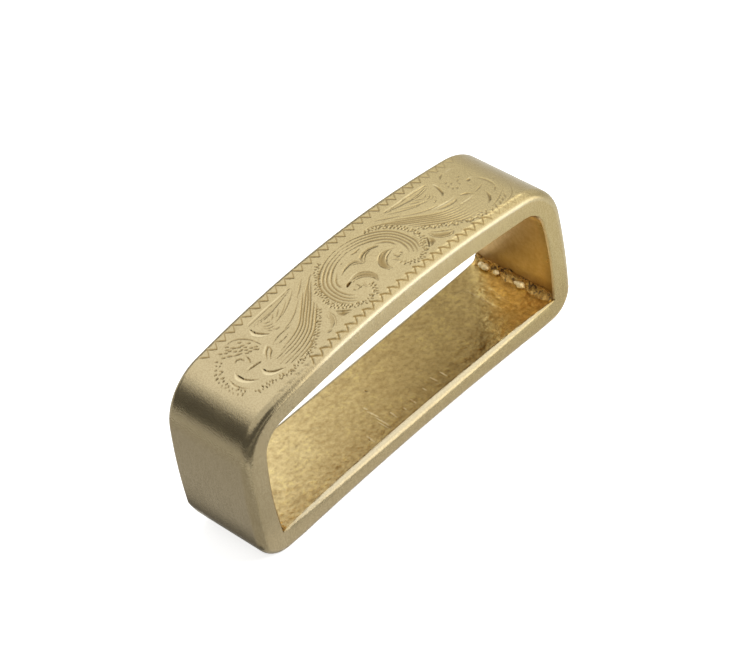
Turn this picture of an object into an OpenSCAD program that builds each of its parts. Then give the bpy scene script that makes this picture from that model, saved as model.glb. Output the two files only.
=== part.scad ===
// Strap keeper loop of a belt set: a crowned strip, bent down at both ends into legs that are
// soldered to a back bar. The strap's free end is tucked through the slot.
// X runs along the slot, Y across the band and Z up. The front rim faces -Y. The origin is midway between
// the two flats that the bar stands on.

/* [Strap slot] */
// Clear width of the slot at the back bar
slot_w = 39.6; // [20:0.1:60]
// How far each leg leans in on its way up
leg_lean = 0.45; // [0:0.05:1.2]
// Clear height of the slot at its sides
slot_h = 12.4; // [9:0.1:18]
// Rise of the slot's roof towards its middle
slot_crown = 1.5; // [0.5:0.05:2.2]
// Bow of the legs' inner faces
slot_bow = 0.48; // [0.1:0.01:0.8]
// Radius of the slot's upper corners
slot_corner_r = 2.9; // [1.5:0.1:4]

/* [Band] */
// Width of the band from rim to rim
band_w = 11; // [6:0.5:20]
// Thickness of the bridge where it turns down into the legs
shoulder_t = 2.2; // [1.8:0.05:4]
// Thickness of the legs
leg_t = 2.7; // [2:0.05:4]
// Rounding of the outer edges along the front rim
front_rim_r = 1; // [0.4:0.05:1.6]
// Rounding of the outer edges along the back rim
back_rim_r = 0.7; // [0.4:0.05:1.6]
// Bevel of the slot's edges along both rims, on the bridge and the legs
slot_bevel = 0.2; // [0.1:0.05:0.8]

/* [Back bar] */
// Thickness of the back bar under the legs
bar_t = 2.85; // [2:0.05:4]
// Rise of the slot's floor towards its middle
floor_rise = 0.25; // [0.05:0.05:0.5]
// Width of the floor's filed edges in their middle
floor_bevel = 0.85; // [0.2:0.05:1.5]
// Hollow of the bar's underside in its middle
underside_rise = 0.5; // [0.1:0.05:0.9]
// Length of the flat that each end of the bar stands on
flat_l = 2; // [1:0.1:4]

/* [Outer form] */
// Rise of the engraved face towards its middle
face_crown = 2.35; // [1:0.05:3.5]
// Bow of the legs' outer faces
leg_bow = 0.54; // [0.1:0.01:0.9]
// Radius of the bends between face and legs
shoulder_r = 6; // [4:0.1:8]
// Radius of the filed corners under the legs
foot_r = 3.25; // [2:0.05:5]

/* [Solder joints] */
// Reach of the solder fillet up the leg and along the bar
fillet_l = 0.8; // [0.4:0.05:1.5]
// Diameter of the beads that stand on the fillet
bead_d = 0.9; // [0.4:0.05:1.4]
// Distance from one bead to the next
bead_pitch = 1.05; // [0.5:0.05:2]

/* [Hidden] */
// Cuts run this far past what they cut
over = 1;
// How far a fillet's arc is centred past its edges, so that solder meets brass at an angle
fillet_lift = 0.1;
// Share of its diameter that a bead's middle stands off leg and bar
bead_stand = 0.4;
brass = [0.80, 0.68, 0.42];
solder_colour = [0.86, 0.80, 0.62];
bead_fn = 32;
// A round stretch takes a new facet at least this often, in degrees of turn and in mm of length
facet_angle = 7;
facet_l = 1.5;
// Facets across the rounding of a rim
rim_steps = 8;
// Points nearer to each other than this are one point
tiny = 0.001;
// Radius of the turn from the hollow underside to the flats
heel_r = 8;
// Drop of a filed edge for each mm of its width
filing_slope = 0.35;

outer_foot = [slot_w / 2 + leg_t, 0];
outer_corner = [slot_w / 2 - leg_lean + leg_t, bar_t + slot_h + shoulder_t];
slot_foot = [slot_w / 2, bar_t];
slot_corner = [slot_w / 2 - leg_lean, bar_t + slot_h];
whole_h = outer_corner.y + face_crown;
reach_x = outer_foot.x + leg_bow + over;
outer_arcs = outer_outline();
slot_arcs = slot_outline();

// Outlines are drawn in the plane of X and height. A circle there is [centre, radius] and an arc is
// [centre, radius, start angle, end angle]. Metal lies towards the centre, or away from it where the radius
// is negative: such a hollow arc starts and ends opposite its angles.

// Circle through p and q that bows out to the right of the way from p to q
function bowed(p, q, rise) =
    let (half = norm(q - p) / 2)
    let (r = (half ^ 2 + rise ^ 2) / (2 * rise))
    let (along = (q - p) / norm(q - p))
    [(p + q) / 2 + [along.y, -along.x] * (rise - r), r];

// Centre of the circle of radius r that touches circles a and b from inside
function nested_centre(a, b, r) =
    let (d = norm(b[0] - a[0]))
    let (u = (b[0] - a[0]) / d)
    let (ra = a[1] - r, rb = b[1] - r)
    let (k = (ra ^ 2 - rb ^ 2 + d ^ 2) / (2 * d))
    a[0] + u * k + [u.y, -u.x] * sqrt(ra ^ 2 - k ^ 2);

// Centre of the circle of radius r that touches circle a from inside and stands on the base line
function standing_centre(a, r) =
    [a[0].x + sqrt((a[1] - r) ^ 2 - (r - a[0].y) ^ 2), r];

function heading(from, to) = atan2(to.y - from.y, to.x - from.x);

function arc_point(arc, angle, inset = 0) =
    arc[0] + (arc[1] - inset) * [cos(angle), sin(angle)];

// Right half of the outer outline, from the underside to the top: hollow, heel, foot, leg, shoulder, face.
// The flat is the straight run between heel and foot.
function outer_outline() =
    let (leg = bowed(outer_foot, outer_corner, leg_bow))
    let (face = bowed(outer_corner, [-outer_corner.x, outer_corner.y], face_crown))
    let (foot = standing_centre(leg, foot_r))
    let (shoulder = nested_centre(face, leg, shoulder_r))
    let (foot_end = heading(leg[0], foot))
    let (leg_end = heading(leg[0], shoulder))
    let (shoulder_end = heading(face[0], shoulder))
    let (heel = [foot.x - flat_l, heel_r])
    let (heel_turn = 2 * atan(underside_rise / heel.x))
    let (hollow_r = heel.x / sin(heel_turn) - heel_r)
    [
        [[0, underside_rise - hollow_r], -hollow_r, -90, -90 - heel_turn],
        [heel, heel_r, -90 - heel_turn, -90],
        [foot, foot_r, -90, foot_end],
        [leg[0], leg[1], foot_end, leg_end],
        [shoulder, shoulder_r, leg_end, shoulder_end],
        [face[0], face[1], shoulder_end, 90],
    ];

// Right half of the slot's outline, carried on below the bar's ends: leg, corner, roof
function slot_outline() =
    let (leg = bowed(slot_foot, slot_corner, slot_bow))
    let (roof = bowed(slot_corner, [-slot_corner.x, slot_corner.y], slot_crown))
    let (corner = nested_centre(roof, leg, slot_corner_r))
    let (leg_start = asin((slot_foot.y - over - leg[0].y) / leg[1]))
    let (leg_end = heading(leg[0], corner))
    let (corner_end = heading(roof[0], corner))
    [
        [leg[0], leg[1], leg_start, leg_end],
        [corner, slot_corner_r, leg_end, corner_end],
        [roof[0], roof[1], corner_end, 90],
    ];

function arc_steps(arc) =
    let (turn = arc[3] - arc[2])
    ceil(max(turn / facet_angle, turn * PI / 180 * arc[1] / facet_l));

// Closed outline, counter-clockwise from the first of its arcs, moved in from the arcs by inset.
// Arcs that don't meet are joined by straight runs.
function outline(arcs, inset = 0) =
    let (points = [for (arc = arcs) for (i = [0:arc_steps(arc)])
        arc_point(arc, arc[2] + (arc[3] - arc[2]) * i / arc_steps(arc), inset)])
    let (right = [for (i = [0:len(points) - 1])
        if (i == 0 || norm(points[i] - points[max(i - 1, 0)]) > tiny) points[i]])
    concat(
        right,
        [for (i = [len(right) - 1:-1:0]) if (right[i].x > tiny) [-right[i].x, right[i].y]]
    );

// Layers of a rim's rounding with radius r, from the band's inside to the rim, each [distance, outline]
function rim(r) =
    [for (i = [0:rim_steps])
        let (a = 90 * i / rim_steps)
        [band_w / 2 - r * (1 - sin(a)), outline(outer_arcs, r * (1 - cos(a)))]];

// Outline of the space over the bar at x, drawn in the plane across the band
function floor_space(x) =
    let (swell = max(1 - (2 * x / slot_w) ^ 2, 0))
    let (floor_z = bar_t + floor_rise * swell)
    let (flat_w = band_w / 2 - floor_bevel * swell)
    let (past_w = band_w / 2 + over)
    let (past_z = floor_z - filing_slope * (past_w - flat_w))
    [
        [-past_w, past_z],
        [-flat_w, floor_z],
        [flat_w, floor_z],
        [past_w, past_z],
        [past_w, whole_h + over],
        [-past_w, whole_h + over],
    ];

// Turns what is drawn in the outline's plane upright, with the band's width along Y
module upright() {
    rotate([90, 0, 0]) children();
}

// Closed solid through a stack of outlines with equally many points, each given as [height, points]
module stacked(layers) {
    n = len(layers[0][1]);
    top = (len(layers) - 1) * n;
    polyhedron(
        [for (layer = layers) for (p = layer[1]) [p.x, p.y, layer[0]]],
        concat(
            [[for (i = [0:n - 1]) i]],
            [[for (i = [n - 1:-1:0]) top + i]],
            [for (k = [0:n:top - n]) for (i = [0:n - 1])
                [k + i, k + n + i, k + n + (i + 1) % n, k + (i + 1) % n]]
        ),
        convexity = 4
    );
}

// The ring as one solid with its slot not yet cut: the outer outline, drawn in towards both rims
module ring_blank() {
    back_rim = rim(back_rim_r);
    stacked(concat(
        [for (i = [rim_steps:-1:0]) [-back_rim[i][0], back_rim[i][1]]],
        rim(front_rim_r)
    ));
}

// What the slot takes out of the bridge and legs, bevels included
module slot_cut() {
    edge = band_w / 2 - slot_bevel;
    past = band_w / 2 + over;
    stacked([
        [-past, outline(slot_arcs, -slot_bevel - over)],
        [-edge, outline(slot_arcs)],
        [edge, outline(slot_arcs)],
        [past, outline(slot_arcs, -slot_bevel - over)],
    ]);
}

// The space over the bar: level over its ends, and between the legs bounded by the floor and its filed edges
module over_bar() {
    steps = ceil(slot_w / facet_l);
    stations = [-reach_x, for (i = [0:steps]) (i / steps - 0.5) * slot_w, reach_x];
    rotate([0, 90, 0]) stacked([for (x = stations) [x, floor_space(x)]]);
}

// Engraved face, both bends and both legs, in one piece
module bridge_strip() {
    past_w = band_w / 2 + over;
    color(brass) upright() difference() {
        intersection() {
            ring_blank();
            translate([-reach_x, bar_t, -past_w]) cube([2 * reach_x, whole_h, 2 * past_w]);
        }
        slot_cut();
    }
}

// Bar under the legs, its ends filed round with them and its underside filed hollow
module back_bar() {
    color(brass) upright() difference() {
        ring_blank();
        over_bar();
    }
}

// Solder in the corner between the right leg and the bar: a fillet with a hollow face and beads along it
module solder_joint() {
    run = band_w - 2 * slot_bevel;
    hollow = fillet_l + fillet_lift;
    bead_gaps = floor((run - bead_d) / bead_pitch);
    color(solder_colour) upright() intersection() {
        slot_cut();
        over_bar();
        translate([slot_foot.x, slot_foot.y, 0]) {
            difference() {
                cube([2 * fillet_l, 2 * fillet_l, run], center = true);
                translate([-hollow, hollow, 0])
                    cylinder(run + over, r = norm([hollow, fillet_lift]), center = true, $fn = bead_fn);
            }
            for (i = [0:bead_gaps])
                translate([-bead_stand * bead_d, bead_stand * bead_d, (i - bead_gaps / 2) * bead_pitch])
                    rotate([0, 0, 135]) sphere(d = bead_d, $fn = bead_fn);
        }
    }
}

module left_solder_joint() {
    mirror([1, 0, 0]) solder_joint();
}

module right_solder_joint() {
    solder_joint();
}

bridge_strip();
back_bar();
left_solder_joint();
right_solder_joint();
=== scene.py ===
import math
import bpy
import numpy as np
from mathutils import Matrix, Vector, noise


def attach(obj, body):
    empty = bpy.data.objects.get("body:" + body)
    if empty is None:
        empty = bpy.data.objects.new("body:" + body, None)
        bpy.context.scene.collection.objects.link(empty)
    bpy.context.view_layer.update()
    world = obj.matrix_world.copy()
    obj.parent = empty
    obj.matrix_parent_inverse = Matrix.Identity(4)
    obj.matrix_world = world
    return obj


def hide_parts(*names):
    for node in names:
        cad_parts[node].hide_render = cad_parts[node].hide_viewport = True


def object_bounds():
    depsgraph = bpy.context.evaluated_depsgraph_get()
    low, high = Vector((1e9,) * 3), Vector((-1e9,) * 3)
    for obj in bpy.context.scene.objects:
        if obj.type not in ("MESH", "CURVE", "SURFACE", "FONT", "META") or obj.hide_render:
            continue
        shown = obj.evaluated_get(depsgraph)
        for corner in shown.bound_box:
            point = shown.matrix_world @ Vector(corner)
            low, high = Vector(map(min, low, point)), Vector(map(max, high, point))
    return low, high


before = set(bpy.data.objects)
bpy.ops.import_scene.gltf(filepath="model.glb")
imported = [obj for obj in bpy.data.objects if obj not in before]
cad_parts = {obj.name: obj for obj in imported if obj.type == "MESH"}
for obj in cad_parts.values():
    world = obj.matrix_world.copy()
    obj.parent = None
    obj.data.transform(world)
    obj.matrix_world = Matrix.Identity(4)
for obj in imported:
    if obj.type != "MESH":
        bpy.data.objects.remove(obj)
solidLow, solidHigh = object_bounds()
bpy.ops.object.select_all(action="DESELECT")
mm = 0.001
print("frame loaded, box", [round(v, 5) for v in (*solidLow, *solidHigh)])

# Sizes of the ring in millimetres, as its solids have them
ring = {
    "slotWidth": 39.6,
    "legLean": 0.45,
    "slotHeight": 12.4,
    "slotCrown": 1.5,
    "slotBow": 0.48,
    "slotCorner": 2.9,
    "bandWidth": 11.0,
    "shoulderWall": 2.2,
    "legWall": 2.7,
    "frontRound": 1.0,
    "backRound": 0.7,
    "slotBevel": 0.2,
    "barWall": 2.85,
    "floorRise": 0.25,
    "undersideRise": 0.5,
    "flatLength": 2.0,
    "faceCrown": 2.35,
    "legBow": 0.54,
    "shoulder": 6.0,
    "foot": 3.25,
    "heel": 8.0,
}
halfBand = ring["bandWidth"] / 2
halfSlot = ring["slotWidth"] / 2
seam = ring["barWall"]


# Outlines lie in the plane of X and Z. A circle is (centre, radius) and an arc adds its two angles.
def bowedCircle(start, end, rise):
    start, end = np.array(start, float), np.array(end, float)
    half = np.linalg.norm(end - start) / 2
    radius = (half**2 + rise**2) / (2 * rise)
    along = (end - start) / (2 * half)
    return (start + end) / 2 + np.array([along[1], -along[0]]) * (rise - radius), radius


# Centre of a circle that lies inside circles a and b and touches both
def nestedCentre(a, b, radius):
    gap = np.linalg.norm(b[0] - a[0])
    towards = (b[0] - a[0]) / gap
    ra, rb = a[1] - radius, b[1] - radius
    k = (ra**2 - rb**2 + gap**2) / (2 * gap)
    return a[0] + towards * k + np.array([towards[1], -towards[0]]) * math.sqrt(ra**2 - k**2)


def heading(start, end):
    return math.atan2(end[1] - start[1], end[0] - start[0])


# Where a circle passes through the plane of the seam
def seamAngle(centre, radius):
    return math.asin((seam - centre[1]) / radius)


# Face, shoulder and leg of the right half, from the middle of the top down to the seam
def upperArcs(foot, corner, crown, bow, radius):
    leg = bowedCircle(foot, corner, bow)
    face = bowedCircle(corner, (-corner[0], corner[1]), crown)
    middle = nestedCentre(face, leg, radius)
    faceEnd, legStart = heading(face[0], middle), heading(leg[0], middle)
    return [
        (face[0], face[1], math.pi / 2, faceEnd),
        (middle, radius, faceEnd, legStart),
        (leg[0], leg[1], legStart, seamAngle(*leg)),
    ]


cornerX = halfSlot - ring["legLean"]
roofZ = seam + ring["slotHeight"]
legFoot = (halfSlot + ring["legWall"], 0)
legHead = (cornerX + ring["legWall"], roofZ + ring["shoulderWall"])
outerArcs = upperArcs(legFoot, legHead, ring["faceCrown"], ring["legBow"], ring["shoulder"])
slotFoot, slotHead = (halfSlot, seam), (cornerX, roofZ)
slotArcs = upperArcs(slotFoot, slotHead, ring["slotCrown"], ring["slotBow"], ring["slotCorner"])
arcLengths = [abs(radius * (last - first)) for _, radius, first, last in outerArcs]
shoulderReach = arcLengths[0] + arcLengths[1]
seamReach = sum(arcLengths)


# X, Z and normal at angles along an arc
def arcPoints(centre, radius, turn):
    across, up = np.cos(turn), np.sin(turn)
    return np.stack([centre[0] + radius * across, centre[1] + radius * up, across, up])


# X, Z and normal at lengths s along the outer outline, or opposite it on the slot's outline
def alongRing(s, arcs):
    slack = 1e-9
    reach, found = np.abs(s), np.zeros((4, len(s)))
    start = 0
    for (centre, radius, first, last), length in zip(arcs, arcLengths):
        here = (reach >= start - slack) & (reach <= start + length + slack)
        found[:, here] = arcPoints(centre, radius, first + (last - first) * (reach[here] - start) / length)
        start += length
    found[0] *= np.sign(s)
    found[2] *= np.sign(s)
    return found


# How far the outline is drawn in at y by the roundings of the rims, and how far the surface has turned there
def roundedInset(y):
    radius = np.where(y < 0, ring["frontRound"], ring["backRound"])
    past = np.clip(np.abs(y) - (halfBand - radius), 0, radius)
    turn = np.arcsin(np.clip(past / radius, 0, 1)) * np.sign(y)
    return radius - np.sqrt(np.maximum(radius**2 - past**2, 0)), turn


# Columns across the outer face, from the front rim to the back rim
def acrossBand(cell, frontSteps=14, backSteps=10):
    front, back = ring["frontRound"], ring["backRound"]
    turn = np.linspace(90, 0, frontSteps + 1)
    columns = list(-(halfBand - front + front * np.sin(np.radians(turn))))
    count = int(round((2 * halfBand - front - back) / cell))
    columns += list(np.linspace(-(halfBand - front), halfBand - back, count + 1)[1:-1])
    turn = np.linspace(0, 90, backSteps + 1)
    columns += list(halfBand - back + back * np.sin(np.radians(turn)))
    return np.array(columns)


# Lengths along a run of points, from 0
def lengthsAlong(points):
    return np.concatenate([[0], np.cumsum(np.hypot(*np.diff(points, axis=0).T))])


def pointsOf(piece):
    points = np.zeros(len(piece.data.vertices) * 3, np.float32)
    piece.data.vertices.foreach_get("co", points)
    return points.reshape(-1, 3)


# Puts a piece's points at places in millimetres
def placePoints(piece, places):
    piece.data.vertices.foreach_set("co", (places * mm).astype(np.float32).ravel())


# A grid primitive whose points are put at rows[i, j], and the i and j of each point; j runs round the section
def clothed(name, rows):
    countI, countJ = rows.shape[:2]
    bpy.ops.object.select_all(action="DESELECT")
    bpy.ops.mesh.primitive_grid_add(x_subdivisions=countI - 1, y_subdivisions=countJ - 1, size=1)
    piece = bpy.context.object
    piece.name = name
    flat = pointsOf(piece)
    i = np.rint((flat[:, 0] + 0.5) * (countI - 1)).astype(int)
    j = np.rint((flat[:, 1] + 0.5) * (countJ - 1)).astype(int)
    placePoints(piece, rows[i, j])
    return piece, i, j


# Keeps values, one for each point, under a name that materials read
def paint(piece, name, values):
    piece.data.attributes.new(name, "FLOAT", "POINT").data.foreach_set("value", values.astype(np.float32))


# Closes the mesh where its edges meet and at its ends, and turns its faces outwards
def sewn(piece, gap=0.002, sharp=35):
    bpy.context.view_layer.objects.active = piece
    bpy.ops.object.mode_set(mode="EDIT")
    bpy.ops.mesh.select_all(action="SELECT")
    bpy.ops.mesh.remove_doubles(threshold=gap * mm)
    bpy.ops.mesh.fill_holes(sides=0)
    bpy.ops.mesh.select_all(action="SELECT")
    bpy.ops.mesh.normals_make_consistent(inside=False)
    bpy.ops.object.mode_set(mode="OBJECT")
    bpy.ops.object.shade_smooth_by_angle(angle=math.radians(sharp))
    return piece


# Engraving, over lengths s along the face and places y across it, in millimetres
scroll = {
    "mirrorAt": 0.4,  # the pattern's middle on the face
    "engravedTo": 19.3,
    "cell": 0.078,
    "lineWidth": 0.145,
    "lineDepth": 0.058,
    "toothPitch": 1.2,
    "leafTips": ((10.5, 12.5), (1, 0.3)),  # what wear has left of the right leaf's tips
    "left": ((-19.3, -18.6, 9, 12.5, 15, 19.3), (0, 1, 1, 0.95, 0.75, 0.35)),  # and of the whole
}
beading = {
    "pitch": 0.38,
    "side": 0.15,  # from the line to each row
    "size": 0.09,
    "depth": 0.09,
    "dark": 1.2,
    "margin": 0.1,  # at both ends of the line
    "skipBelow": -0.42,
    "glintAt": (-0.13, 0.07),
    "glintWidth": 0.07,
    "glint": -0.25,
}


def mirrored(points):
    return [(2 * scroll["mirrorAt"] - s, y) for s, y in points]


# A smooth curve through points
def curveThrough(points, step=0.06):
    points = np.asarray(points, float)
    ends = np.vstack([2 * points[0] - points[1], points, 2 * points[-1] - points[-2]])
    run = []
    for a, b, c, d in zip(ends, ends[1:], ends[2:], ends[3:]):
        t = np.linspace(0, 1, max(int(np.linalg.norm(c - b) / step), 2), endpoint=False)[:, None]
        bend, twist = 2 * a - 5 * b + 4 * c - d, 3 * b - a - 3 * c + d
        run.append(0.5 * (2 * b + (c - a) * t + bend * t**2 + twist * t**3))
    return np.vstack([*run, points[-1:]])


# Depths and painted tone over the stations s and the columns y, on the face before it is bent: dark in the
# grooves, tarnish with painted shade, and painted highlights
class Field:
    def __init__(self, s, y):
        self.s, self.y = s, y
        self.depth, self.dark, self.light = (np.zeros((len(s), len(y))) for _ in range(3))

    # One stroke: half widths along it, greatest depth, where across it is deepest, from -1 to 1, and dark
    # tone, tarnish with painted shade, which below 0 is a painted highlight; the tone keeps to the deepest
    # part as hold grows
    def cut(self, points, widths, depth, lean=0.0, dark=0.6, hold=1.0):
        path = curveThrough(points)
        step = np.diff(path, axis=0)
        size = np.hypot(*step.T)
        length = lengthsAlong(path)
        widths = np.asarray(widths, float)
        marks = np.linspace(0, 1, len(widths))
        reach = widths.max()
        i0, i1 = np.searchsorted(self.s, (path[:, 0].min() - reach, path[:, 0].max() + reach))
        j0, j1 = np.searchsorted(self.y, (path[:, 1].min() - reach, path[:, 1].max() + reach))
        if i0 == i1 or j0 == j1:
            return
        spot = np.stack(np.meshgrid(self.s[i0:i1], self.y[j0:j1], indexing="ij"), -1)
        apart = spot[:, :, None] - path[:-1]
        t = np.clip((apart * step).sum(-1) / (size**2), 0, 1)
        off = apart - t[..., None] * step
        away = np.hypot(off[..., 0], off[..., 1])
        near = away.argmin(-1)[..., None]
        side = np.sign(step[near, 0] * np.take_along_axis(off[..., 1], near, 2)
                       - step[near, 1] * np.take_along_axis(off[..., 0], near, 2))[..., 0]
        away = np.take_along_axis(away, near, 2)[..., 0]
        done = length[near[..., 0]] + np.take_along_axis(t, near, 2)[..., 0] * size[near[..., 0]]
        width = np.maximum(np.interp(done / length[-1], marks, widths), 1e-3)
        u = side * away / width
        rise = np.where(u < lean, (u + 1) / (1 + lean + 1e-6), (1 - u) / (1 - lean + 1e-6))
        rise = np.clip(rise, 0, 1)
        share = (width / reach) ** 0.6  # a stroke's thin ends are shallow
        here = self.depth[i0:i1, j0:j1]
        np.maximum(here, depth * share * rise, out=here)
        shade = (self.dark if dark > 0 else self.light)[i0:i1, j0:j1]
        np.maximum(shade, abs(dark) * share * rise**hold, out=shade)

    # A stroke and its mirror image
    def both(self, points, widths, depth, lean=0.0, dark=0.6, hold=1.0):
        self.cut(points, widths, depth, lean, dark, hold)
        self.cut(mirrored(points), widths, depth, -lean, dark, hold)

    # Two ragged rows of small slanted cuts along a line, each with a glint beside it
    def beads(self, points, strength=1.0, **changes):
        bead = {**beading, **changes}
        path = curveThrough(points, 0.02)
        length = lengthsAlong(path)
        for at in np.arange(bead["margin"], length[-1] - bead["margin"], bead["pitch"]):
            here = np.array([np.interp(at, length, path[:, k]) for k in (0, 1)])
            ahead = np.array([np.interp(at + 0.1, length, path[:, k]) for k in (0, 1)]) - here
            along = ahead / np.hypot(*ahead)
            across = np.array([-along[1], along[0]])
            for way in (-1, 1):
                wobble = noise.noise(Vector((at * 3.1, way * 5.0, length[-1])))
                drift = noise.noise(Vector((at * 2.3, way * 9.0, length[-1] + 3)))
                if wobble < bead["skipBelow"]:
                    continue
                middle = here + across * way * bead["side"] * (1 + 0.9 * drift)
                middle = middle + along * (0.09 * way + 0.2 * drift)
                big = bead["size"] * (1 + 0.7 * wobble)
                slant = across * (0.1 + 0.08 * wobble) + along * 0.16 * drift * way
                widths = [big * 0.7, big * 1.25]
                ends = [middle - slant, middle + slant]
                self.cut(ends, widths, bead["depth"] * strength, 0.3, bead["dark"] * strength)
                glint = middle + np.array(bead["glintAt"])
                ends, widths = [glint, glint + slant], [bead["glintWidth"]] * 2
                self.cut(ends, widths, 0.01, 0, bead["glint"] * strength, 0.6)

    # Polishes away what is cut so far, down to the share that is left at each station
    def polish(self, left):
        for layer in (self.depth, self.dark, self.light):
            layer *= left[:, None]

    # Tone read by the material: 1 is a dark groove, tarnish with painted shade, -1 a painted highlight
    def tone(self):
        return np.where(self.dark > 0.35, self.dark, self.dark - self.light)


# The arch over the middle: lines that run together over the crown, with beads outside them
def engraveArch(field):
    both = field.both
    line, deep = scroll["lineWidth"], scroll["lineDepth"]
    arches = [
        [(-4.5, -3.0), (-4.95, -2.0), (-5.02, -1.0), (-4.9, 0.0), (-4.65, 0.8), (-4.1, 1.6), (-3.2, 2.35),
         (-2.0, 2.95), (-0.8, 3.3), (0.4, 3.42)],
        [(-3.82, -3.25), (-4.2, -2.8), (-4.55, -2.0), (-4.65, -1.0), (-4.52, 0.0), (-4.2, 0.8), (-3.6, 1.5),
         (-2.7, 2.15), (-1.5, 2.7), (0.4, 3.05)],
        [(-3.6, -3.0), (-4.0, -2.4), (-4.22, -1.8), (-4.27, -1.0), (-4.15, -0.1), (-3.8, 0.7), (-3.15, 1.4),
         (-2.2, 2.0), (-1.2, 2.4), (0.4, 2.68)],
        [(-3.4, -2.55), (-3.72, -2.0), (-3.88, -1.3), (-3.88, -0.7), (-3.7, 0.0), (-3.3, 0.65), (-2.7, 1.2),
         (-2.0, 1.65), (-1.0, 2.05), (0.4, 2.3)],
        [(-3.38, -0.8), (-3.3, -0.2), (-2.95, 0.35), (-2.2, 0.95)],
    ]
    for points in arches:
        both(points, [0.06, line, line, line, line, line, 0.1, 0.07, 0.05], deep, 0.35, 1.0)
    field.beads([(-2.3, 3.4), (-3.3, 2.8), (-3.9, 2.1), (-4.6, 1.3), (-5.1, 0.9), (-5.2, 0.2), (-5.5, -0.5),
                 (-5.65, -1.2), (-5.7, -2.0), (-5.3, -2.6), (-4.9, -3.1), (-4.5, -3.6), (-3.85, -3.9),
                 (-3.5, -4.15), (-2.9, -4.15), (-2.45, -4.05), (-2.05, -4.1), (-1.7, -3.75), (-1.4, -3.25),
                 (-1.3, -2.6)])
    field.beads([(3.7, 2.9), (4.7, 2.5), (5.5, 1.9), (6.0, 1.2), (6.4, 0.4), (6.6, -0.4), (6.7, -1.4),
                 (6.5, -2.1), (6.0, -2.7), (5.6, -3.3), (5.2, -3.7), (4.4, -4.1), (3.8, -4.15), (3.3, -3.9),
                 (2.85, -3.5), (2.75, -2.7)])
    for k in range(7):  # hatching between the arch and its beads
        both([(-5.62 + 0.11 * k, -1.5 - 0.24 * k), (-5.15 + 0.1 * k, -1.25 - 0.26 * k)], [0.04, 0.09, 0.04],
             0.05, 0.2, 0.5)
    both([(-1.5, -1.95), (-1.75, -2.4), (-1.95, -2.85)], [0.04, 0.09, 0.04], 0.06)
    both([(-1.8, -2.05), (-2.0, -2.75)], [0.04, 0.07, 0.04], 0.05)
    both([(-2.28, -1.5), (-2.2, -1.9), (-2.3, -2.25)], [0.03, 0.12, 0.16], 0.08, 0.3, 0.8)
    both([(-2.9, -1.95), (-2.85, -2.15)], [0.12, 0.1], 0.08, 0, 0.8)
    both([(-2.75, -2.3), (-2.35, -2.2), (-1.95, -2.3)], [0.06, 0.08, 0.06], 0.05)


# Horns inside the arch and the small bird between them
def engraveHorns(field):
    cut, both = field.cut, field.both
    cut([(-2.4, -0.95), (-1.6, -0.9), (-0.95, -1.25), (-0.5, -1.9), (-0.42, -2.5), (-0.68, -3.05)],
        [0.03, 0.16, 0.3, 0.32, 0.26, 0.04], 0.06, 0.3, 0.75, 0.25)
    cut([(-2.45, -0.75), (-1.6, -0.58), (-1.0, -0.6)], [0.04, 0.08, 0.05], 0.02, 0, -0.6, 0.6)
    cut([(-1.5, -0.62), (-0.75, -0.88), (-0.3, -1.4), (-0.12, -1.95), (-0.18, -2.45), (-0.55, -3.0)],
        [0.04, 0.1, 0.11, 0.1, 0.09, 0.04], 0.08, 0, 1.0)
    cut([(-2.2, -1.12), (-1.55, -1.2), (-1.0, -1.6), (-0.7, -2.05), (-0.62, -2.55), (-0.68, -3.05)],
        [0.04, 0.08, 0.08, 0.08, 0.08, 0.04], 0.08, 0, 0.8)
    cut([(-2.98, -1.16), (-2.7, -1.04), (-2.42, -0.98)], [0.1, 0.19, 0.14], 0.3, 0, 2.6, 0.6)
    cut([(3.9, -1.15), (3.0, -0.8), (2.3, -0.95), (1.6, -1.4), (1.25, -2.1), (1.3, -2.95)],
        [0.03, 0.14, 0.27, 0.36, 0.34, 0.04], 0.06, -0.2, 0.9, 0.25)
    cut([(2.9, -0.55), (2.2, -0.65), (1.55, -1.02), (1.1, -1.6), (1.0, -2.2), (1.12, -2.9)],
        [0.04, 0.08, 0.1, 0.12, 0.11, 0.05], 0.09, 0, 1.0)
    cut([(3.3, -1.05), (2.4, -1.35), (1.85, -1.8), (1.55, -2.35), (1.5, -3.0)],
        [0.04, 0.08, 0.09, 0.08, 0.05], 0.09, 0, 0.8)
    cut([(-2.1, 0.42), (-1.5, 0.62), (-0.6, 0.8), (0.05, 0.6), (0.35, -0.1)], [0.03, 0.1, 0.18, 0.24, 0.04],
        0.07, 0.4, 0.55, 0.35)
    cut([(0.42, -0.15), (0.7, 0.5), (1.3, 0.78), (2.1, 0.82), (2.9, 0.5)], [0.04, 0.2, 0.2, 0.2, 0.06], 0.08,
        0.4, 0.7, 0.4)
    both([(-2.15, 0.38), (-1.5, 0.7), (-0.5, 0.96)], [0.05, 0.09, 0.05], 0.07, 0, 1.0)
    cut([(-0.5, 0.58), (0.0, 0.25), (0.4, -0.18)], [0.05, 0.08, 0.05], 0.07, 0, 0.9)
    cut([(0.55, -0.15), (1.0, 0.32), (1.5, 0.6), (2.2, 0.62)], [0.05, 0.09, 0.09, 0.05], 0.07, 0, 0.9)
    cut([(2.2, 0.88), (2.6, 0.72), (3.05, 0.45)], [0.06, 0.13, 0.06], 0.08, 0.3, 1.2)
    cut([(0.45, 1.72), (1.05, 1.62), (1.65, 1.7)], [0.05, 0.13, 0.05], 0.08, -0.3, 0.9, 0.6)
    cut([(-1.04, 1.6), (-0.96, 1.6)], [0.1, 0.1], 0.08, 0, 0.8)


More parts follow.
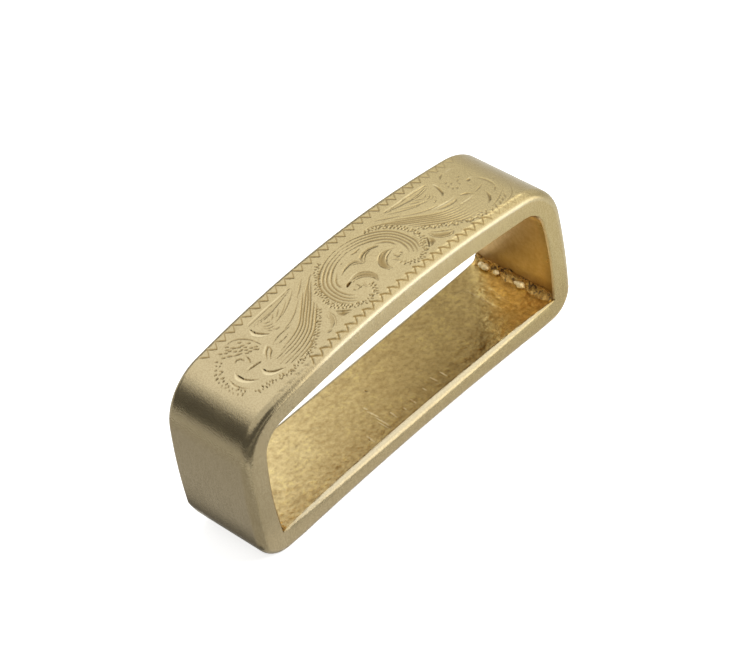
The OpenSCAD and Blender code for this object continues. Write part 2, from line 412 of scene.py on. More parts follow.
# Half moons and leaves below the arch
def engraveMoons(field):
    cut, both = field.cut, field.both
    both([(-6.1, -2.75), (-6.0, -3.3), (-5.35, -3.8)], [0.06, 0.32, 0.06], 0.06, 0.5, 1.0, 0.3)
    both([(-6.0, -2.55), (-5.62, -3.1), (-5.08, -3.68)], [0.08, 0.12, 0.07], 0.1, 0, 1.5)
    cut([(-6.5, -2.05), (-6.8, -2.6), (-7.3, -3.3), (-8.0, -3.8)], [0.03, 0.24, 0.26, 0.05], 0.06, 0.6, 0.5,
        0.35)
    cut([(-6.45, -1.95), (-6.5, -2.7), (-6.85, -3.35), (-7.4, -3.9)], [0.06, 0.08, 0.06], 0.06, 0, 0.7)
    cut([(-6.95, -2.2), (-7.15, -2.7)], [0.06, 0.06], 0.05, 0, 0.6)
    cut([(-8.42, -3.8), (-8.18, -3.85)], [0.16, 0.16], 0.07, 0, 0.5, 0.5)
    cut([(7.5, -2.3), (7.6, -3.0), (8.1, -3.5), (8.7, -3.8), (9.15, -3.75)], [0.05, 0.22, 0.3, 0.26, 0.05],
        0.07, -0.3, 0.8, 0.3)
    cut([(7.35, -2.2), (7.3, -2.9), (7.75, -3.7), (8.6, -4.1), (9.2, -3.85)], [0.04, 0.08, 0.1, 0.09, 0.05],
        0.09, 0, 0.9)
    cut([(7.6, -2.2), (8.3, -2.9), (9.2, -3.6)], [0.05, 0.1, 0.06], 0.08, 0, 0.9)


# Side leaves: lines that fan out towards the ends
def engraveLeaves(field):
    both = field.both
    leaf = [
        [(-6.05, 1.9), (-7.0, 1.12), (-8.0, 0.28), (-9.0, -0.5), (-10.0, -1.0), (-11.2, -1.3),
         (-12.6, -1.5)],
        [(-4.9, 2.4), (-6.0, 1.57), (-7.0, 0.76), (-8.0, -0.04), (-9.0, -0.86), (-10.0, -1.36),
         (-11.3, -1.7), (-13.6, -1.85)],
        [(-3.75, 3.05), (-4.4, 2.7), (-5.2, 2.05), (-6.0, 1.25), (-7.0, 0.38), (-8.0, -0.42), (-9.0, -1.24),
         (-10.0, -1.74), (-11.5, -2.1), (-13.9, -2.2)],
        [(-4.5, 2.3), (-5.2, 1.7), (-6.0, 0.92), (-7.0, 0.02), (-8.0, -0.8), (-9.0, -1.62), (-10.0, -2.12),
         (-11.5, -2.5), (-13.9, -2.6)],
        [(-6.3, 0.15), (-7.0, -0.42), (-8.0, -1.22), (-9.0, -2.0), (-10.0, -2.5), (-11.5, -2.9),
         (-13.6, -3.0)],
        [(-6.4, -0.32), (-7.0, -0.84), (-7.8, -1.5), (-8.8, -2.3), (-10.0, -2.9), (-11.5, -3.3),
         (-13.2, -3.4)],
        [(-9.6, -3.1), (-10.8, -3.55), (-12.4, -3.75)],
    ]
    for points in leaf:
        both(points, [0.07, 0.12, 0.13, 0.13, 0.12, 0.1, 0.08, 0.05], 0.07, 0.35, 1.05)
    for points in (
        [(-4.75, 3.35), (-5.8, 2.6), (-6.8, 1.95)],
        [(-6.4, 3.0), (-7.2, 2.5), (-8.4, 1.9), (-9.3, 1.55)],
        [(-7.7, 2.6), (-8.5, 2.1), (-9.5, 1.65), (-10.3, 1.45)],
        [(-8.85, 2.5), (-9.7, 1.95)],
        [(-9.7, 2.45), (-10.3, 2.0)],
        [(-7.0, 1.6), (-8.2, 0.85), (-9.3, 0.35), (-10.4, 0.1)],
        [(-11.05, 2.35), (-10.75, 2.15), (-10.45, 2.05)],
        [(-11.4, 2.15), (-11.0, 1.8), (-10.55, 1.6)],
        [(-11.5, 1.85), (-11.2, 1.5), (-10.7, 1.3)],
        [(-11.5, 1.5), (-11.25, 1.05)],
        [(-11.1, 1.15), (-10.85, 0.8), (-10.5, 0.7)],
    ):
        both(points, [0.05, 0.1, 0.06], 0.06, 0.2, 0.8)
    field.polish(np.interp(field.s, *scroll["leafTips"]))


# A zigzag along each rim
def engraveBorders(field):
    cut = field.cut
    for n in range(-14, 16):
        s = -0.22 + scroll["toothPitch"] * n + 0.05 * math.sin(2.1 * n)
        tall = 0.06 * math.sin(3.7 * n)
        bold = 1 if s < 13 else 0.8
        cut([(s - 0.58, 4.9 + tall), (s - 0.3, 4.5), (s, 4.1)], [0.1, 0.14, 0.12], 0.06 * bold, 0.3,
            1.3 * bold)
        cut([(s + 0.04, 4.12), (s + 0.3, 4.45), (s + 0.56, 4.85)], [0.1, 0.1, 0.09], 0.04 * bold, 0,
            0.95 * bold)
        peak = s + 0.63
        bold = 1 if s < 12 else 0.45
        if peak > -12.5:
            cut([(peak - 0.05, -4.55 + tall), (peak + 0.34, -4.86), (peak + 0.8, -5.22)], [0.16, 0.15, 0.09],
                0.06 * bold, 0.2, 1.5 * bold)
            cut([(peak, -4.6), (peak - 0.16, -4.9), (peak - 0.38, -5.2)], [0.11, 0.11, 0.09], 0.05 * bold, 0,
                1.3 * bold)
        else:
            cut([(peak - 0.2, -4.7), (peak + 0.2, -4.95)], [0.07, 0.09], 0.05, 0, 0.5)


# Beads round the ends of the leaves, but not at the worn right end
def engraveBeadedOutline(field):
    outline = [(-17.7, -2.9), (-16.8, -3.2), (-16.1, -3.4), (-15.3, -3.6), (-14.5, -4.0), (-14.0, -4.3),
               (-13.5, -4.1), (-12.7, -4.2), (-12.0, -4.1), (-11.5, -4.3), (-11.0, -3.9), (-10.5, -3.95),
               (-10.0, -3.4), (-9.5, -3.2), (-9.0, -2.9), (-8.5, -2.4), (-8.0, -2.1), (-7.6, -1.7),
               (-7.2, -1.4), (-6.8, -1.0), (-6.6, -0.7)]
    field.beads(outline)
    field.beads(mirrored(outline)[7:])


# A lens along the back border, a comma and leaf cuts
def engraveLenses(field):
    cut, both = field.cut, field.both
    both([(-12.1, 3.3), (-10.5, 3.05), (-8.5, 3.1), (-6.2, 3.45)], [0.05, 0.3, 0.26, 0.05], 0.05, -0.65,
         0.22, 0.5)
    both([(-12.1, 3.4), (-10.0, 3.42), (-8.0, 3.35), (-6.2, 3.5)], [0.05, 0.08, 0.08, 0.05], 0.06, 0, 0.6)
    both([(-12.0, 3.6), (-10.0, 3.6), (-8.0, 3.52), (-6.6, 3.6)], [0.05, 0.08, 0.08, 0.05], 0.01, 0, -0.6,
         0.6)
    both([(-11.9, 2.95), (-10.2, 2.68), (-8.2, 2.98), (-6.5, 3.3)], [0.04, 0.08, 0.08, 0.04], 0.05, 0, 0.65)
    cut([(-12.45, 2.95), (-12.62, 2.2), (-12.35, 1.5), (-11.9, 0.98)], [0.04, 0.2, 0.18, 0.05], 0.04, -0.5,
        -0.7, 0.5)
    cut([(-12.35, 3.0), (-12.38, 2.3), (-12.1, 1.6), (-11.7, 0.95)], [0.04, 0.12, 0.13, 0.05], 0.1, 0.3, 1.4)
    cut([(-12.5, -0.3), (-11.8, -0.05), (-11.0, 0.0), (-9.8, -0.1)], [0.04, 0.1, 0.1, 0.05], 0.05, 0.5, 0.6,
        0.6)
    cut([(-12.5, -0.35), (-12.1, -0.65), (-11.3, -0.72), (-10.5, -0.55)], [0.04, 0.08, 0.08, 0.04], 0.05,
        0.5, 0.6)
    cut([(10.2, 0.05), (11.2, -0.12), (12.4, -0.25), (13.3, -0.2)], [0.05, 0.15, 0.15, 0.05], 0.03, 0, -0.5,
        0.6)
    cut([(10.6, -0.3), (11.6, -0.55), (12.8, -0.65), (13.3, -0.4)], [0.05, 0.24, 0.22, 0.05], 0.06, -0.6,
        0.6, 0.8)


# Scroll and stipple at the left end
def engraveLeftEnd(field):
    cut = field.cut
    stroke = [0.05, 0.13, 0.06]
    cut([(-15.1, 3.7), (-14.2, 3.45), (-13.6, 2.8), (-13.25, 2.0), (-13.15, 1.2), (-13.15, 0.7)], stroke,
        0.07, 0.2, 1.0)
    for s, y in ((-16.1, 3.4), (-16.3, 2.8), (-15.75, 3.0), (-15.4, 3.15), (-15.35, 2.85), (-14.95, 2.9),
                 (-15.15, 3.45), (-14.85, 2.7), (-15.1, 2.35), (-14.55, 2.4), (-14.2, 2.25), (-14.2, 1.85),
                 (-14.65, 1.2), (-14.3, 1.1), (-13.95, 1.3), (-13.85, 0.85), (-13.6, 1.0), (-13.65, 1.9),
                 (-14.4, 1.55), (-13.75, 0.65), (-14.1, 2.75)):
        cut([(s - 0.09, y + 0.1), (s + 0.09, y - 0.1)], [0.1, 0.13], 0.08, 0, 1.1)
    for points in (
        [(-16.05, 2.6), (-15.65, 2.2)],
        [(-15.65, 2.1), (-15.3, 1.85), (-14.9, 1.6)],
        [(-15.0, 2.0), (-14.5, 1.85)],
        [(-16.2, 1.3), (-15.85, 1.42), (-15.52, 1.2), (-15.45, 0.8)],
        [(-14.95, 1.0), (-15.1, 0.4), (-15.3, 0.1)],
        [(-13.9, -1.35), (-13.6, -1.0), (-13.1, -0.65), (-12.88, -0.2)],
    ):
        cut(points, [0.06, 0.14, 0.1], 0.08, 0.2, 1.1)
    cut([(-16.2, -0.4), (-15.5, -0.55), (-14.75, -0.75)], [0.05, 0.13, 0.1], 0.09, 0.6, 1.3)
    cut([(-16.1, -0.22), (-15.4, -0.35)], [0.05, 0.08], 0.02, 0, -0.5, 0.6)
    cut([(-16.95, 0.6), (-17.4, -0.1), (-17.35, -0.9), (-17.0, -1.6), (-16.5, -2.1)],
        [0.02, 0.18, 0.2, 0.15, 0.02], 0.04, -0.5, -0.7, 0.5)
    cut([(-17.05, 0.4), (-17.15, -0.3), (-17.1, -0.9), (-16.8, -1.55), (-16.35, -2.1)],
        [0.04, 0.1, 0.12, 0.11, 0.04], 0.09, 0.3, 1.3)
    cut([(-17.85, 0.5), (-18.1, -0.3), (-18.05, -1.2), (-17.6, -2.2)], [0.03, 0.1, 0.1, 0.03], 0.06, 0.4,
        1.0)
    cut([(-18.0, 0.3), (-18.3, -0.4), (-18.2, -1.2)], [0.02, 0.13, 0.02], 0.02, 0, -0.4, 0.6)
    cut([(-13.0, -0.05), (-13.6, -0.4), (-14.3, -1.25)], [0.13, 0.12, 0.03], 0.08, 0.4, 1.1)
    cut([(-13.05, 0.15), (-13.75, -0.3)], [0.14, 0.16], 0.02, 0, -0.45, 0.5)
    cut([(-15.3, -1.45), (-15.5, -2.1), (-15.15, -2.85), (-14.1, -3.45)], [0.03, 0.2, 0.18, 0.03], 0.04,
        -0.5, -0.7, 0.5)
    cut([(-15.2, -1.4), (-15.25, -2.0), (-14.85, -2.72), (-13.9, -3.35)], [0.04, 0.12, 0.13, 0.04], 0.1, 0.3,
        1.4)
    field.beads([(-16.9, 2.9), (-17.6, 2.3), (-18.3, 1.5), (-18.7, 0.5), (-18.75, -0.5), (-18.6, -1.4),
                 (-18.2, -2.2)], 0.9, side=0.22, size=0.1, pitch=0.5)


# Worn scroll at the right end
def engraveRightEnd(field):
    cut = field.cut
    stroke = [0.05, 0.13, 0.06]
    for points, widths, depth, dark in (
        ([(12.7, 0.8), (13.1, 1.3), (13.35, 2.0), (13.45, 2.6)], [0.04, 0.15, 0.15, 0.05], 0.09, 1.3),
        ([(14.6, 2.9), (14.95, 3.25), (15.4, 3.5)], stroke, 0.06, 1.0),
        ([(13.9, -0.45), (14.4, -0.65), (14.95, -1.15)], [0.08, 0.2, 0.05], 0.08, 1.4),
        ([(15.3, -1.15), (16.0, -1.0), (16.7, -0.75)], [0.05, 0.13, 0.07], 0.06, 1.0),
        ([(12.6, -1.6), (14.2, -1.68)], [0.05, 0.08], 0.04, 0.6),
        ([(14.65, -3.45), (15.3, -3.1), (15.8, -2.5), (16.0, -1.95)], [0.04, 0.16, 0.19, 0.05], 0.09, 1.5),
        ([(17.25, 0.45), (17.55, -0.4), (17.55, -1.3), (17.35, -1.9)], [0.05, 0.17, 0.17, 0.06], 0.06, 1.2),
        ([(16.8, -2.4), (17.25, -2.05)], [0.08, 0.12], 0.07, 1.4),
        ([(16.35, 0.75), (16.5, 0.8)], [0.2, 0.2], 0.1, 1.8),
        ([(14.4, 2.0), (14.7, 2.2)], stroke, 0.05, 0.9),
        ([(15.4, 1.4), (15.9, 1.7)], stroke, 0.05, 0.9),
        ([(16.0, 1.8), (16.4, 2.1)], stroke, 0.05, 0.8),
        ([(15.3, 0.85), (15.5, 1.2)], stroke, 0.05, 0.9),
        ([(14.15, 0.8), (14.5, 1.1)], stroke, 0.05, 0.8),
        ([(14.5, 0.55), (14.85, 0.8)], stroke, 0.05, 0.9),
        ([(14.7, 1.5), (15.0, 1.8)], stroke, 0.05, 0.8),
        ([(15.8, 0.25), (15.95, -0.05)], stroke, 0.05, 0.7),
        ([(14.1, 1.35), (14.4, 1.6)], stroke, 0.05, 0.7),
        ([(18.2, -0.85), (18.6, -0.9)], stroke, 0.05, 1.0),
        ([(13.1, -4.65), (13.5, -4.25)], stroke, 0.07, 1.1),
        ([(13.9, -4.75), (14.4, -4.25)], stroke, 0.07, 1.1),
        ([(14.6, -4.75), (15.05, -4.05)], stroke, 0.07, 1.2),
        ([(15.3, -4.55), (15.8, -3.95)], stroke, 0.07, 1.2),
        ([(15.9, -4.3), (16.4, -3.75)], stroke, 0.07, 1.2),
        ([(16.5, -4.1), (17.0, -3.45)], stroke, 0.07, 1.2),
        ([(14.6, -4.1), (16.0, -3.6), (17.6, -2.8)], [0.05, 0.1, 0.05], 0.06, 1.0),
        ([(15.0, -4.75), (16.6, -4.45), (17.7, -3.9), (18.6, -2.8)], [0.04, 0.09, 0.1, 0.05], 0.06, 1.1),
        ([(13.5, 2.8), (13.6, 2.3)], [0.14, 0.08], 0.01, -0.6),
        ([(15.9, 3.4), (16.5, 3.5), (17.0, 3.3)], [0.1, 0.16, 0.05], 0.01, -0.5),
        ([(12.8, -1.45), (13.8, -1.5), (14.6, -1.4)], [0.05, 0.12, 0.08], 0.01, -0.7),
        ([(17.75, -0.1), (17.82, -1.0), (17.6, -1.7)], [0.05, 0.12, 0.05], 0.01, -0.5),
        ([(16.75, 1.0), (17.0, 0.9)], [0.14, 0.1], 0.01, -0.8),
        ([(18.4, -0.55), (18.9, -0.75)], [0.1, 0.06], 0.01, -0.6),
    ):
        cut(points, widths, depth, 0.2, dark, 0.8)


# Strokes with dark above 0 darken their grooves with tarnish and painted shade; those below 0, most of them
# only 0.01 mm deep, are painted highlights
def engrave(field):
    engraveArch(field)
    engraveHorns(field)
    engraveMoons(field)
    engraveLeaves(field)
    engraveBorders(field)
    engraveBeadedOutline(field)
    engraveLenses(field)
    engraveLeftEnd(field)
    engraveRightEnd(field)
    field.polish(np.interp(field.s, *scroll["left"]))


# The engraved strip with its two legs
strip = {
    "bendRows": 33,
    "legRows": 22,
    "slotColumns": 11,
    "bevelShade": 0.45,  # painted shade on the bevels of the slot
    "edgeHighlight": 0.5,  # painted highlight on the front edge
    "highlightAlong": ((-13, -9, 17, 20), (0, 1, 1, 0.3)),
    "highlightRound": ((50, 74, 84, 90), (0, 1, 1, 0.2)),  # degrees round the front rim
}


def makeBridge():
    engravedTo = scroll["engravedTo"]
    engraved = np.linspace(-engravedTo, engravedTo, int(2 * engravedTo / scroll["cell"]) + 1)
    bend = np.linspace(engravedTo, shoulderReach, strip["bendRows"] + 1)[1:]
    leg = np.linspace(shoulderReach, seamReach, strip["legRows"] + 1)[1:]
    right = np.concatenate([bend, leg])
    s = np.concatenate([-right[::-1], engraved, right])
    y = acrossBand(scroll["cell"])
    field = Field(s, y)
    engrave(field)
    tone = field.tone()
    # painted highlight on the front rim's rounding, along most of the face
    pastFront = np.clip((-y - (halfBand - ring["frontRound"])) / ring["frontRound"], 0, 1)
    highlightAlong, highlightRound = np.interp(s, *strip["highlightAlong"]), np.degrees(np.arcsin(pastFront))
    tone -= strip["edgeHighlight"] * highlightAlong[:, None] * np.interp(highlightRound, *strip["highlightRound"])
    inset, turn = roundedInset(y)
    x, z, nx, nz = alongRing(s, outerArcs)
    slotX, slotZ, mx, mz = alongRing(s, slotArcs)
    bevel = ring["slotBevel"]
    columns, raws, cuts = [], [], []

    def add(px, py, pz, raw=0.0, cut=0.0):
        columns.append(np.stack([px, np.broadcast_to(py, s.shape), pz], 1))
        raws.append(np.broadcast_to(raw, s.shape))
        cuts.append(np.broadcast_to(cut, s.shape))

    # A column on a rim, at a share of the way from one edge to the other
    def addBetween(start, end, py, share):
        add(start[0] + (end[0] - start[0]) * share, py, start[1] + (end[1] - start[1]) * share)

    for j in range(len(y)):
        depth = field.depth[:, j]
        draw = inset[j] + depth * math.cos(turn[j])
        add(x - nx * draw, y[j] - depth * math.sin(turn[j]), z - nz * draw, 0.0, tone[:, j])
    backEdge, frontEdge = ((x - nx * ring[name], z - nz * ring[name]) for name in ("backRound", "frontRound"))
    slotEdge = slotX + mx * bevel, slotZ + mz * bevel
    for share in (0.5, 1):
        addBetween(backEdge, slotEdge, halfBand, share)
    # the slot's bevels take painted shade
    for py in np.linspace(halfBand - bevel, bevel - halfBand, strip["slotColumns"]):
        onBevel = abs(py) > halfBand - bevel - 0.01
        add(slotX, py, slotZ, 1.0, strip["bevelShade"] if onBevel else 0.0)
    for share in (0, 0.5, 1):
        addBetween(slotEdge, frontEdge, -halfBand, share)
    rows = np.stack(columns, 1)
    rows[0, :, 2] = rows[-1, :, 2] = seam
    rows[:, :, 0] = np.clip(rows[:, :, 0], solidLow.x / mm, solidHigh.x / mm)
    rows[:, :, 2] = np.minimum(rows[:, :, 2], solidHigh.z / mm)
    piece, i, j = clothed("bridge", rows)
    paint(piece, "cut", np.clip(np.stack(cuts, 1)[i, j], -1, 1.5))
    paint(piece, "raw", np.stack(raws, 1)[i, j])
    return sewn(piece)


# The bar under the legs, with its filed edges and its rough floor
flatBar = {
    "cell": 0.105,
    "underCell": 0.5,
    "turnStep": 0.16,
    "straightTo": 18.0,  # past this the floor's rows turn round to the seam
    "heelRound": 1.7,  # rounding of the back rim round the foot
    "heelAt": ((0, 0.35, 0.75, 1.3), (0, 1, 1, 0)),
    "edgeWidth": 0.62,
    "edgeSteps": 9,
    "edgeSlope": 0.42,
    "edgeRoll": 1.6,
    "edgeHighlight": 0.4,  # painted highlight on the filed edges
    "highlightAcross": ((0, 0.12, 0.5, 1), (0, 1, 1, 0.15)),
    "wrinkle": 0.05,
    "calmWidth": 0.25,  # the rough skin runs out along the edges
    "calmEnd": 0.4,  # and at the legs
}


# The bar's outline from the seam, round the foot and over the flat, to the middle of the underside
def barOutline():
    leg, legRadius = bowedCircle(legFoot, legHead, ring["legBow"])
    footR, heelR, rise = ring["foot"], ring["heel"], ring["undersideRise"]
    footX = leg[0] + math.sqrt((legRadius - footR) ** 2 - (footR - leg[1]) ** 2)
    heelX = footX - ring["flatLength"]
    heelTurn = 2 * math.atan(rise / heelX)
    hollowR = heelX / math.sin(heelTurn) - heelR
    down = -math.pi / 2
    run = []
    for centre, radius, first, last in (
        ((footX, footR), footR, seamAngle((footX, footR), footR), down),
        ((heelX, heelR), heelR, down, down - heelTurn),
        ((0, rise - hollowR), -hollowR, down - heelTurn, down),
    ):
        steps = max(int(abs(radius * (last - first)) / 0.02), 4)
        run.append(arcPoints(centre, radius, np.linspace(first, last, steps)))
    return np.concatenate(run, 1)


# Values on the bar's right half, then their mirror image on the left
def bothHalves(values):
    return np.concatenate([values, values[:-1][::-1]])


# File and punch marks across the floor, most of them near the front edge; each is a dent darkened with
# painted shade, with a painted highlight beside it
def markFloor(marks):
    for points, width, depth in (
        ([(-3.36, -0.75), (-3.28, -1.8), (-3.2, -2.85)], 0.12, 0.05),
        ([(-3.46, -2.1), (-3.5, -3.3), (-3.56, -4.6)], 0.13, 0.06),
        ([(-3.75, -2.7), (-3.8, -3.6), (-3.85, -4.5)], 0.12, 0.05),
        ([(-3.18, -0.2), (-3.2, -0.95)], 0.1, 0.04),
        ([(-2.1, -2.9), (-2.2, -4.0)], 0.11, 0.05),
        ([(-0.84, -3.55), (-0.9, -4.1)], 0.11, 0.05),
        ([(0.42, -3.35), (0.36, -4.35)], 0.12, 0.05),
        ([(2.3, -3.2), (2.35, -3.9)], 0.1, 0.04),
        ([(3.9, -2.85), (3.95, -4.05)], 0.12, 0.05),
        ([(5.08, -3.0), (5.0, -4.3)], 0.12, 0.05),
        ([(-5.9, -3.3), (-6.0, -4.5)], 0.12, 0.05),
    ):
        beside = [(px - 0.16, py) for px, py in points]
        marks.cut(beside, [width * 0.4, width, width * 0.4], depth, 0, 0.5, 0.7)
        marks.cut(points, [width * 0.4, width, width * 0.8, width * 0.2], 0.01, 0, -0.7, 0.8)
    for points, width in (  # broad scrapes at the right end: painted shade with a painted highlight beside it
        ([(17.25, 2.4), (16.6, -0.9), (16.5, -3.0)], 0.4),
        ([(15.4, 3.0), (15.2, 0.6), (15.3, -2.2)], 0.5),
    ):
        marks.cut(points, [0.05, width, width * 0.7, 0.05], 0.01, 0.5, 0.2)
        marks.cut([(px + 0.4, py) for px, py in points], [0.05, width * 0.6, 0.05], 0.01, 0, -0.25)
    marks.cut([(-1.3, 1.24), (-1.26, 1.16)], [0.14, 0.14], 0.12, 0, 1.4)  # a pit


# Height of the floor's rough skin at a place; calm is 0 where the skin has run out
def roughSkin(px, py, calm):
    rough = noise.fractal(Vector((px * 0.9, py * 0.9, 3.0)), 0.8, 2.1, 4)
    ridge = 1 - abs(noise.noise(Vector((px * 1.7, py * 1.7, 9.0)))) * 2
    patch = 0.55 + 0.9 * max(0.0, noise.noise(Vector((px * 0.25, py * 0.3, 1.0))))
    return flatBar["wrinkle"] * patch * calm * (0.6 * rough + 0.4 * ridge - 0.6)


def makeBar():
    straightTo, edgeWidth, cell = flatBar["straightTo"], flatBar["edgeWidth"], flatBar["cell"]
    outline = barOutline()
    length = lengthsAlong(outline[:2].T)
    turnIn = np.interp(-straightTo, -outline[0], length)
    ends = np.linspace(0, turnIn, int(turnIn / flatBar["turnStep"]))
    straight = np.linspace(straightTo, 0, int(straightTo / cell) + 1)[1:]
    lengths = np.concatenate([ends, np.interp(-straight, -outline[0], length)])
    x, z, nx, nz = (np.interp(lengths, length, values) for values in outline)

    # the outer skin, from the front rim to the back rim
    under = acrossBand(flatBar["underCell"], 12, 9)
    heelAt, heelShare = flatBar["heelAt"]
    atHeel = np.interp(lengths, turnIn * np.array(heelAt), heelShare)[:, None]
    back = ring["backRound"] + (flatBar["heelRound"] - ring["backRound"]) * atHeel
    pastBack = np.clip(under - (halfBand - back), 0, back)
    backInset = back - np.sqrt(np.maximum(back**2 - pastBack**2, 0))
    inset = np.where(under < 0, roundedInset(under)[0], backInset)
    outerY = np.broadcast_to(under, inset.shape)
    outer = np.stack([x[:, None] - nx[:, None] * inset, outerY, z[:, None] - nz[:, None] * inset], -1)
    outer[0, :, 2] = seam

    # the floor, and the faces under the legs in the plane of the seam
    edge = np.linspace(0, 1, flatBar["edgeSteps"]) * edgeWidth
    inner = halfBand - edgeWidth
    middle = np.linspace(-inner, inner, int(2 * inner / cell))[1:-1]
    across = np.concatenate([edge - halfBand, middle, halfBand - edge[::-1]])
    endX = np.interp(across, under, outer[0, :, 0])
    topX = endX + (straightTo - endX) * np.clip(lengths / turnIn, 0, 1)[:, None]
    topX[len(ends):] = x[len(ends):, None]
    topY = np.broadcast_to(across, topX.shape)
    swell = np.maximum(1 - (2 * topX / ring["slotWidth"]) ** 2, 0)
    breadth = edgeWidth * np.sqrt(swell) + 1e-6
    past = np.clip(np.abs(topY) - (halfBand - breadth), 0, None)
    drop = flatBar["edgeSlope"] * past + flatBar["edgeRoll"] * past**3 / breadth**2 / 3
    topZ = seam + ring["floorRise"] * swell - np.where(swell > 0, drop, 0)
    inSlot = np.clip((halfSlot - topX) / flatBar["calmEnd"], 0, 1)
    # painted highlight across the filed edges, fading out towards the legs
    edgeShine = np.interp(past / breadth, *flatBar["highlightAcross"]) * np.minimum(1, 3 * swell) * (inSlot > 0)

    right = np.concatenate([outer, np.stack([topX, topY, topZ], -1)[:, ::-1]], 1)
    rows = bothHalves(right)
    rows[len(right):, :, 0] *= -1
    inSlot, breadth, edgeShine = (bothHalves(values)[:, ::-1] for values in (inSlot, breadth, edgeShine))
    top = len(under)
    onFloor = (inSlot > 0) & (np.abs(rows[:, top:, 1]) <= halfBand - breadth)
    raw, cuts = np.zeros(rows.shape[:2]), np.zeros(rows.shape[:2])
    raw[:, top:] = onFloor
    cuts[:, top:] = -flatBar["edgeHighlight"] * edgeShine
    marks = Field(np.linspace(-straightTo, straightTo, 2 * len(straight) + 1), across)
    markFloor(marks)
    marked = slice(len(ends) - 1, len(ends) + 2 * len(straight))
    cuts[marked, top:] += marks.tone()[::-1, ::-1]
    rows[marked, top:, 2] -= marks.depth[::-1, ::-1]
    for i, j in zip(*np.nonzero(onFloor)):
        px, py = rows[i, top + j, 0], rows[i, top + j, 1]
        calm = inSlot[i, j] * min(1, (halfBand - breadth[i, j] - abs(py)) / flatBar["calmWidth"])
        rows[i, top + j, 2] += roughSkin(px, py, calm)
    rows[:, :, 0] = np.clip(rows[:, :, 0], solidLow.x / mm, solidHigh.x / mm)
    rows[:, :, 2] = np.maximum(rows[:, :, 2], solidLow.z / mm)

    # the first column again, so that the section closes
    rows, cuts, raw = (np.concatenate([values, values[:, :1]], 1) for values in (rows, cuts, raw))
    piece, i, j = clothed("backBar", rows)
    paint(piece, "cut", cuts[i, j])
    paint(piece, "raw", raw[i, j])
    return sewn(piece)


# Crust and beads of solder in the inner corner under a leg
seamSolder = {
    "cell": 0.1,
    "frontGap": 0.3,
    "backGap": 0.12,
    "reach": 0.95,
    "turnSteps": 13,
    "swell": -0.12,
    "rough": 0.16,
    "fine": 0.1,
    "lumpScale": 2.6,
    "inFloor": 0.25,  # how far the hidden sides lie inside the bar and the leg
    "inLeg": 0.3,
    "beadFrom": (0.45, 0.36),  # a bead's middle, in from the corner and up from the floor
    "beadSize": (0.8, 0.75),
    "dents": 0.22,
    "rightBeads": (  # each bead's place along the seam, its size and its stretch
        (4.05, 0.42, 1.0), (3.5, 0.45, 1.0), (2.0, 0.33, 1.0), (-1.3, 0.46, 1.1), (-0.75, 0.26, 1.0)),
    "leftBeads": ((-3.6, 0.3, 1.2), (1.5, 0.33, 1.0)),
}


def makeBead(side, py, size, stretch):
    bpy.ops.object.select_all(action="DESELECT")
    bpy.ops.mesh.primitive_ico_sphere_add(subdivisions=4, radius=1)
    bead = bpy.context.object
    points = pointsOf(bead)
    for n, spot in enumerate(points):
        dent = noise.noise(Vector(spot) * 1.7 + Vector((py, size, side)))
        points[n] = spot * (1 + seamSolder["dents"] * dent)
    wide, tall = seamSolder["beadSize"]
    inwards, up = seamSolder["beadFrom"]
    points *= (size * wide, size * stretch, size * tall)
    points += (side * (halfSlot - inwards), py, seam + up)
    placePoints(bead, points)
    paint(bead, "pale", np.ones(len(points)))
    paint(bead, "high", np.zeros(len(points)))
    bpy.ops.object.shade_smooth()
    return bead


# Side is 1 at the right and -1 at the left
def makeJoint(name, side, beads):
    y = np.linspace(-halfBand + seamSolder["frontGap"], halfBand - seamSolder["backGap"],
                    int(2 * halfBand / seamSolder["cell"]))
    turn = np.linspace(0, math.pi / 2, seamSolder["turnSteps"])
    rows = np.zeros((len(y), len(turn) + 4, 3))
    inFloor, inLeg = seamSolder["inFloor"], seamSolder["inLeg"]
    for i, py in enumerate(y):
        thin = min(1.0, (halfBand - abs(py)) / 0.5)
        uneven = 1 + 0.3 * noise.noise(Vector((py * 0.9, side, 4.0)))
        reach = seamSolder["reach"] * (0.65 + 0.35 * thin) * uneven
        section = [(-reach - 0.12, -inFloor)]
        for a in turn:
            fillet = np.array([-reach * (1 - math.sin(a)), reach * (1 - math.cos(a))])
            lump = noise.noise(Vector((py * seamSolder["lumpScale"], a * 1.3, side * 7.0)))
            fine = noise.noise(Vector((py * 4.2, a * 3.0, side * 3.0)))
            rise = seamSolder["swell"] + seamSolder["rough"] * max(0.0, lump) + seamSolder["fine"] * fine
            rise = rise * math.sin(2 * a) ** 0.5 * thin
            section.append(fillet + np.array([-math.sin(a), math.cos(a)]) * rise)
        section += [(inLeg, reach), (inLeg, -inFloor), section[0]]
        for k, (px, pz) in enumerate(section):
            rows[i, k] = side * (halfSlot + px), py, seam + pz
    piece, i, j = clothed(name, rows)
    paint(piece, "pale", np.zeros(len(i)))
    paint(piece, "high", np.clip((j - 1) / len(turn), 0, 1))
    sewn(piece)
    parts = [piece] + [makeBead(side, *bead) for bead in beads]
    bpy.ops.object.select_all(action="DESELECT")
    for part in parts:
        part.select_set(True)
    bpy.context.view_layer.objects.active = piece
    bpy.ops.object.join()
    return piece


